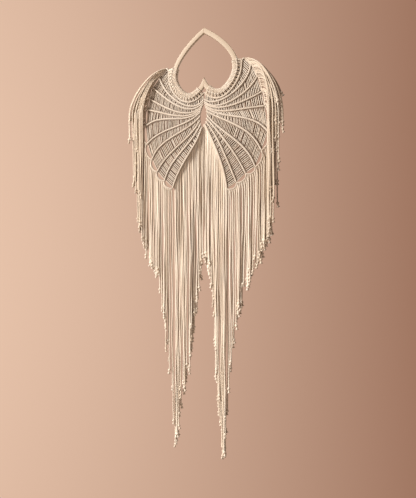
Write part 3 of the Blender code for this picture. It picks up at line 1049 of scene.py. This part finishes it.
@dataclass(frozen=True)
class Fringe:
    """Strands that hang free, each with an overhand knot and a frayed tip.

    The profile of the knot and the tip gives the drop below the strand in millimetres, and the radius
    there in radii of the strand. The first knot_rows of it are the knot. Strands hang in two layers by
    turns, and those of the back one get painted shade. A wave is its size, then the least and greatest
    pitch.
    """

    plan: WingPlan
    radius: float = 1.9 * MM
    rows: int = 30
    sides: int = 8
    knot_rows: int = 7
    tones: tuple = (0.1, 1)
    # Painted shade on the sides of a strand and of its knot.
    strand_flank_shade: float = 0.55
    knot_flank_shade: float = 0.2
    profile: tuple = (
        (0.7, 1.45), (1.8, 1.95), (3.4, 2.2), (5.0, 2.05), (6.2, 1.6), (7.0, 1.1), (8.0, 0.95),
        (10.0, 1.2), (12.0, 1.65), (14.0, 2.2),
    )
    wave_sizes: tuple = ((1.0 * MM, 0.16, 0.34), (1.8 * MM, 0.5, 0.9))
    wave_grows: float = 0.12  # drop at which the waves have their full size
    lock_pull: float = 2.4 * MM  # greatest pull sideways into a lock
    lock_width: float = 4.1 * MM
    lock_grows: float = 0.18  # drop at which the pull is full
    settle_out: float = 6 * MM  # settling length of the swing outwards
    settle_back: float = 20 * MM  # settling length of the depth
    drift: float = 2.0 * MM  # usual drift sideways at the drift length
    drift_length: float = 0.6
    across_depth: float = 0.6  # waves in depth, as a share of those sideways
    # Greatest painted shade of a strand in the back layer.
    back_shade: float = 0.32
    hem_spread: tuple = (-12, 30)  # millimetres above the hem

    def add(self, skein: Skein, path: Array, shade: Array, dice: np.random.Generator) -> None:
        """Adds strands along paths, then a bead for the knot and a flared tip below each path.

        The bead's radius goes up and down by the profile, with two low waves around it that wind on from
        row to row. The tip's radius grows, and every other point around it stands out.

        Args:
            skein: what the strands are added to.
            path: centre lines of shape (count, rows, 3), x counted outwards.
            shade: painted shade of each strand, for how far it lies in its neighbours' shade, 0 to 1, of
                shape (count, 1, 1).
            dice: the source of the strands' small differences.
        """
        count = len(path)
        drops, sizes = np.array(self.profile).T
        size = dice.uniform(0.88, 1.12, (count, 1))
        lean = dice.normal(0, 0.2, (count, 1, 3)) * np.array([1, 0.6, 0])
        way = unit(unit(path[:, -1:] - path[:, -3:-2]) + lean)
        below = path[:, -1:] + way * (drops * size)[..., None] * MM
        whole = np.concatenate([path, below], axis=1)
        radius = np.concatenate([np.ones((count, path.shape[1])), sizes * size], axis=1) * self.radius
        radius = radius * dice.uniform(0.92, 1.06, (count, 1))
        turn = np.arange(self.sides) * 2 * math.pi / self.sides
        row = np.arange(whole.shape[1])[:, None] - path.shape[1]
        bead = np.where((row >= 0) & (row < self.knot_rows), 0.07 * np.sin(2 * turn + 1.3 * row), 0)
        fray = np.where(row > self.knot_rows, 0.16 * np.cos(turn * self.sides / 2), 0)
        radius = radius[..., None] * (1 + bead + fray)
        tone = dice.uniform(*self.tones, count)
        skein.add_cords(
            self.plan.to_side(whole), radius, np.array([0, -1, 0.15]), tone, self.sides,
            flank_shade=np.where(row < 0, self.strand_flank_shade, self.knot_flank_shade), shade=shade,
        )

    def waves(self, drop: Array, dice: np.random.Generator) -> Array:
        """Slow waves of strands, sideways and in depth, that start below their roots.

        Each is the sum of a low, short sine and a broad, long one, which grow to full size on the way.

        Args:
            drop: how far below its root each point is, of shape (count, rows).
            dice: the source of the strands' small differences.

        Returns:
            Offsets of shape (2, count, rows).
        """
        waves = np.zeros((2, *drop.shape))
        for size, low, high in self.wave_sizes:
            pitch = dice.uniform(low, high, (2, len(drop), 1))
            phase = dice.uniform(0, 2 * math.pi, (2, len(drop), 1))
            grown = np.minimum(1, drop / self.wave_grows)
            waves += size * np.sin(2 * math.pi * drop / pitch + phase) * grown
        return waves

    def feet(self, x: Array, dice: np.random.Generator) -> Array:
        """Heights of the knots of strands that hang this far from the seam: the hem, unevenly cut."""
        return self.plan.hem(x) + dice.uniform(*self.hem_spread, len(x)) * MM

    def layer_shade(self, layer: Array, dice: np.random.Generator) -> Array:
        """Painted shade of strands in the front layer (0) and the back one (1), of shape (count, 1, 1)."""
        return (self.back_shade * layer * dice.uniform(0.4, 1, len(layer)))[:, None, None]

    def hung(
        self, root: Array, out: Array, hang: Array, foot_z: Array, dice: np.random.Generator
    ) -> Array:
        """Paths that leave their roots outwards, fall into line and hang to their feet.

        At the drop d a strand is at its hanging place plus what is left of its start, which dies away as
        e to the power of -d over the settling length, plus its waves, a pull towards the nearest lock,
        which is a sine of the root's x, and a drift that grows with d.

        Args:
            root: X, Y, Z roots of shape (count, 3).
            out: how far outwards of its root each strand swings, of shape (count, 1).
            hang: hanging depth of each strand, of shape (count, 1).
            foot_z: height of each strand's knot, of shape (count, 1).
            dice: the source of the strands' small differences.

        Returns:
            Centre lines of shape (count, rows, 3).
        """
        count = len(root)
        share = np.linspace(0, 1, self.rows) ** 1.7
        drop = share * (root[:, 2:] - foot_z)
        settled = 1 - np.exp(-drop / self.settle_out)
        fallen = 1 - np.exp(-drop / self.settle_back)
        waves = self.waves(drop, dice)
        lock = self.lock_pull * np.sin(root[:, :1] / self.lock_width)
        lock = lock * np.minimum(1, drop / self.lock_grows)
        drift = dice.normal(0, self.drift, (count, 1)) * drop / self.drift_length
        x = root[:, :1] + out * settled + waves[0] + lock + drift
        y = root[:, 1:2] + (hang - root[:, 1:2]) * fallen + self.across_depth * waves[1]
        return np.stack([x, y, root[:, 2:] - drop], axis=-1)


@dataclass(frozen=True)
class CentreFringe(Fringe):
    """The curtain below the last rib, which ends in a long point."""

    count: int = 52
    from_seam: float = 1.8 * MM
    from_tip: float = 2.8 * MM
    hangs_behind: tuple = (5 * MM, 11 * MM)

    def build(self, material: bpy.types.Material, dice: np.random.Generator) -> bpy.types.Object:
        """Roots strands along the last rib, evenly from the seam to a narrow gap under its tip."""
        word = self.plan.side.word
        rib = self.plan.ribs()[-1]
        path = stood(rib, self.plan.depth(rib[:, 1]))
        x = np.linspace(self.from_seam, path[-1, 0] - self.from_tip, self.count)
        x = x + dice.normal(0, 0.4 * MM, self.count)
        root = along(path, np.interp(x, path[:, 0], run_lengths(path))) + (0, 1.5 * MM, 0)
        root[:, 0] = x
        layer = np.arange(self.count) % 2
        hang = root[:, 1] + np.take(self.hangs_behind, layer) + dice.normal(0, 1 * MM, self.count)
        foot = self.feet(root[:, 0], dice)
        paths = self.hung(root, np.zeros((self.count, 1)), hang[:, None], foot[:, None], dice)
        skein = Skein(f"{word}_centre_strands", Slot.COTTON, (f"{word}_centre_fringe",))
        self.add(skein, paths, self.layer_shade(layer, dice), dice)
        return skein.build(material)


@dataclass(frozen=True)
class ScallopFringe(Fringe):
    """Strands that leave the lower scallop loops outwards and fall behind them."""

    each: int = 13
    first: int = 5  # the first loop that carries it
    last_share: float = 0.9  # part of the last loop that has strands
    out: float = 6 * MM
    hangs_behind: tuple = (3.5 * MM, 9.5 * MM)

    def build(self, material: bpy.types.Material, dice: np.random.Generator) -> bpy.types.Object:
        """Roots strands evenly along each of the lower loops, and leaves a gap under the last tip."""
        word = self.plan.side.word
        skein = Skein(f"{word}_scallop_strands", Slot.COTTON, (f"{word}_scallop_fringe",))
        loops = self.plan.scallops()[self.first :]
        shares = [0.96] * (len(loops) - 1) + [self.last_share]
        for line, share in zip(loops, shares):
            runs = run_lengths(line)
            spots = np.linspace(0.04, share, self.each) * runs[-1]
            root = along(line, spots)
            normal = outward_normals(line)
            out = np.stack([np.interp(spots, runs, c) for c in normal.T], axis=-1)
            start = stood(root, self.plan.depth(root[:, 1]))
            layer = np.arange(self.each) % 2
            hang = start[:, 1] + np.take(self.hangs_behind, layer) + dice.normal(0, 1 * MM, self.each)
            foot = self.feet(start[:, 0] + self.out * out[:, 0], dice)
            swing = self.out * np.maximum(out[:, :1], 0)
            paths = self.hung(start, swing, hang[:, None], foot[:, None], dice)
            self.add(skein, paths, self.layer_shade(layer, dice), dice)
        return skein.build(material)


@dataclass(frozen=True)
class ShoulderFringe(Fringe):
    """A cape of strands from the upper loops, which arch outwards and hang over the wing's rim.

    Strands hang between the inner and the outer x, and the fullness is that of the arch of a strand at
    the inner x and of one at the outer x. The hanging depths run from the front to the back.
    """

    rows: int = 38
    counts: tuple = (16, 11, 8, 7, 6)
    inner_x: float = 200 * MM
    outer_x: float = 246 * MM
    arch_foot: float = -215 * MM  # height at which the arches end
    least_arch: float = 45 * MM
    fullness: tuple = (1.47, 1.47)
    highest_knot: float = -190 * MM
    inner_knots_lower: float = 80 * MM  # how much lower the highest inner knot is
    least_drop: float = 80 * MM
    foot_spread: float = 12 * MM  # either way
    hangs: tuple = (-20 * MM, -8 * MM)
    settle_back: float = 30 * MM
    # Painted shade of the strands, growing from the frontmost to the hindmost.
    least_shade: float = 0.0
    most_shade: float = 0.6
    # Lower tones than the other fringes make these strands darker and warmer, as painted shade.
    tones: tuple = (0, 0.4)

    def build(self, material: bpy.types.Material, dice: np.random.Generator) -> bpy.types.Object:
        """Roots strands along each of the upper loops; a strand rooted higher arches further out.

        With v the share of its arch that a point has dropped, to the power of the fullness, a strand is
        at its root plus its reach times the square root of 1 - (1 - v) squared, so it leaves level and
        ends upright. The outer strands of a loop are the shorter ones, and the hindmost get painted shade.

        Args:
            material: the cotton finish.
            dice: the source of the strands' small differences.

        Returns:
            The finished piece.
        """
        plan = self.plan
        word = plan.side.word
        skein = Skein(f"{word}_shoulder_strands", Slot.COTTON, (f"{word}_shoulder_fringe",))
        step = np.linspace(0, 1, self.rows) ** 2.2
        for order, (line, count) in enumerate(zip(plan.scallops(), self.counts)):
            spots = (np.arange(count) + dice.uniform(0.2, 0.8, count)) / count
            root = along(line, spots * run_lengths(line)[-1])
            root = stood(root, plan.depth(root[:, 1]) - 1 * MM)
            share = (1 - spots) * (1 - 0.1 * order) + dice.normal(0, 0.06, count)
            share = np.clip(share, 0, 1)[:, None]
            hang_x = self.inner_x + share * (self.outer_x - self.inner_x)
            arch = np.maximum(root[:, 2:] - self.arch_foot, self.least_arch)
            hem = plan.hem(hang_x)
            highest = self.highest_knot - self.inner_knots_lower * (1 - share)
            place = np.argsort(np.argsort(-share[:, 0] - dice.normal(0, 0.3, count)))
            fall = (place[:, None] + dice.uniform(0, 1, (count, 1))) / count
            foot = highest + (hem - highest) * (1.15 * fall**1.1).clip(0, 1)
            foot = np.minimum(foot, root[:, 2:] - self.least_drop)
            foot = foot + dice.uniform(-self.foot_spread, self.foot_spread, (count, 1))
            drop = step * (root[:, 2:] - foot)
            v = np.clip(drop / arch, 0, 1) ** (self.fullness[0] * (1 - share) + self.fullness[1] * share)
            out = (hang_x - root[:, :1]) * np.sqrt(1 - (1 - v) ** 2)
            waves = self.waves(drop, dice)
            depth = dice.uniform(0, 1, (count, 1))
            hang = self.hangs[0] + depth * (self.hangs[1] - self.hangs[0])
            fallen = 1 - np.exp(-(drop + out) / self.settle_back)
            y = root[:, 1:2] + (hang - root[:, 1:2]) * fallen + self.across_depth * waves[1]
            x = root[:, :1] + out + waves[0]
            shade = np.maximum(self.least_shade, self.most_shade * depth[..., None] ** 2)
            self.add(skein, np.stack([x, y, root[:, 2:] - drop], axis=-1), shade, dice)
        return skein.build(material)


# ----------------------------------------------------------------------------------------- studio


class Lamp(NamedTuple):
    """A square area light: its place, the length of its sides, its power in watts and its colour."""

    name: str
    place: tuple
    size: float
    power: float
    colour: tuple


@dataclass(frozen=True)
class Studio:
    """A pale floor well below the hanging, soft light from the left, and the camera."""

    camera_place: tuple = (0.533, -1.171, -0.623)
    camera_turn_deg: float = 24
    lens: float = 32.17
    sensor: float = 36
    lamps: tuple = (
        Lamp("key", (-3.0, -2.4, 1.6), 0.9, 335, (1.0, 0.97, 0.94)),
        Lamp("fill", (-0.5, -2.5, -0.7), 2.0, 15, (1.0, 0.96, 0.92)),
        Lamp("back", (0.6, 2.3, 0.3), 2.0, 38, (1.0, 0.95, 0.9)),
    )
    lamps_face: tuple = (0, 0, -0.5)
    floor_z: float = -1.95
    floor_size: float = 2.4
    floor_y: float = -0.6
    # The backdrop's painted light: lit on the left and in shade to the right.
    backdrop_painted_lit: tuple = (0.84, 0.58, 0.43, 1)
    backdrop_painted_shade: tuple = (0.31, 0.15, 0.095, 1)
    backdrop_turn: tuple = (-0.85, 0.1)
    ambient: tuple = (0.22, 0.145, 0.1, 1)
    floor_colour: tuple = (0.72, 0.64, 0.57, 1)

    def build(self) -> None:
        """Places the floor, the world's colour, the lights and the camera."""
        self.build_floor()
        self.build_world()
        bpy.context.scene.view_settings.view_transform = "Standard"
        for lamp in self.lamps:
            self.build_light(lamp)
        camera = bpy.data.cameras.new("camera")
        camera.lens = self.lens
        camera.sensor_width = self.sensor
        placed = bpy.data.objects.new("camera", camera)
        placed.location = self.camera_place
        placed.rotation_euler = (math.pi / 2, 0, math.radians(self.camera_turn_deg))
        bpy.context.scene.collection.objects.link(placed)
        bpy.context.scene.camera = placed

    def build_world(self) -> None:
        """A warm backdrop, seen only by the camera, painted lit on the left and shaded to the right; a dim
        even light.
        """
        graph = Graph(bpy.data.worlds.new("studio"))
        x = graph.first_part(graph.node("ShaderNodeTexCoord", output="Generated"))
        seen = graph.mix(x.over(*self.backdrop_turn), self.backdrop_painted_lit, self.backdrop_painted_shade)
        by_camera = graph.node("ShaderNodeLightPath", output="Is Camera Ray")
        world = graph.finish(Color=graph.mix(by_camera, self.ambient, seen), Strength=1.0)
        bpy.context.scene.world = world

    def build_floor(self) -> None:
        """A plain pale floor."""
        half = self.floor_size / 2
        low, high = self.floor_y - half, self.floor_y + half
        corners = [(-half, low), (half, low), (half, high), (-half, high)]
        mesh = bpy.data.meshes.new("floor")
        mesh.from_pydata([(x, y, self.floor_z) for x, y in corners], [], [(0, 1, 2, 3)])
        graph = Graph(bpy.data.materials.new("pale_floor"))
        mesh.materials.append(graph.finish(Base_Color=self.floor_colour, Roughness=0.8))
        floor = bpy.data.objects.new("floor", mesh)
        bpy.context.scene.collection.objects.link(floor)

    def build_light(self, lamp: Lamp) -> None:
        """A soft light that faces the middle of the hanging."""
        light = bpy.data.lights.new(lamp.name, "AREA")
        light.size = lamp.size
        light.energy = lamp.power
        light.color = lamp.colour
        made = bpy.data.objects.new(lamp.name, light)
        made.location = lamp.place
        away = np.array(lamp.place) - np.array(self.lamps_face)
        made.rotation_euler = (
            math.atan2(math.hypot(away[0], away[1]), away[2]),
            0,
            math.atan2(away[0], -away[1]),
        )
        bpy.context.scene.collection.objects.link(made)


def main() -> None:
    """Builds the studio, the hoop and both wings with their fringes."""
    logging.basicConfig(level=logging.INFO)
    Studio().build()
    cotton = CottonFinish().material("cotton_cord")
    hoop = HeartHoop()
    hoop.build(WoodFinish().material("pale_wood"))
    shoulders = {
        Side.RIGHT: {
            "inner_x": 195 * MM,
            "outer_x": 240 * MM,
            "arch_foot": -262 * MM,
            "fullness": (0.8, 1.35),
            # Painted shade on all of the right cape's strands.
            "least_shade": 0.2,
        },
        Side.LEFT: {"inner_x": 200 * MM, "outer_x": 246 * MM, "arch_foot": -215 * MM},
    }
    heading_tops = {Side.RIGHT: -91 * MM, Side.LEFT: -84 * MM}
    for side in Side:
        dice = np.random.default_rng(11 + side.value)
        plan = WingPlan(side, hoop)
        Heading(plan, heading_tops[side]).build(cotton, dice)
        Wing(plan).build(cotton, dice)
        CentreFringe(plan).build(cotton, dice)
        ScallopFringe(plan).build(cotton, dice)
        ShoulderFringe(plan, **shoulders[side]).build(cotton, dice)


if __name__ == "__main__":
    main()
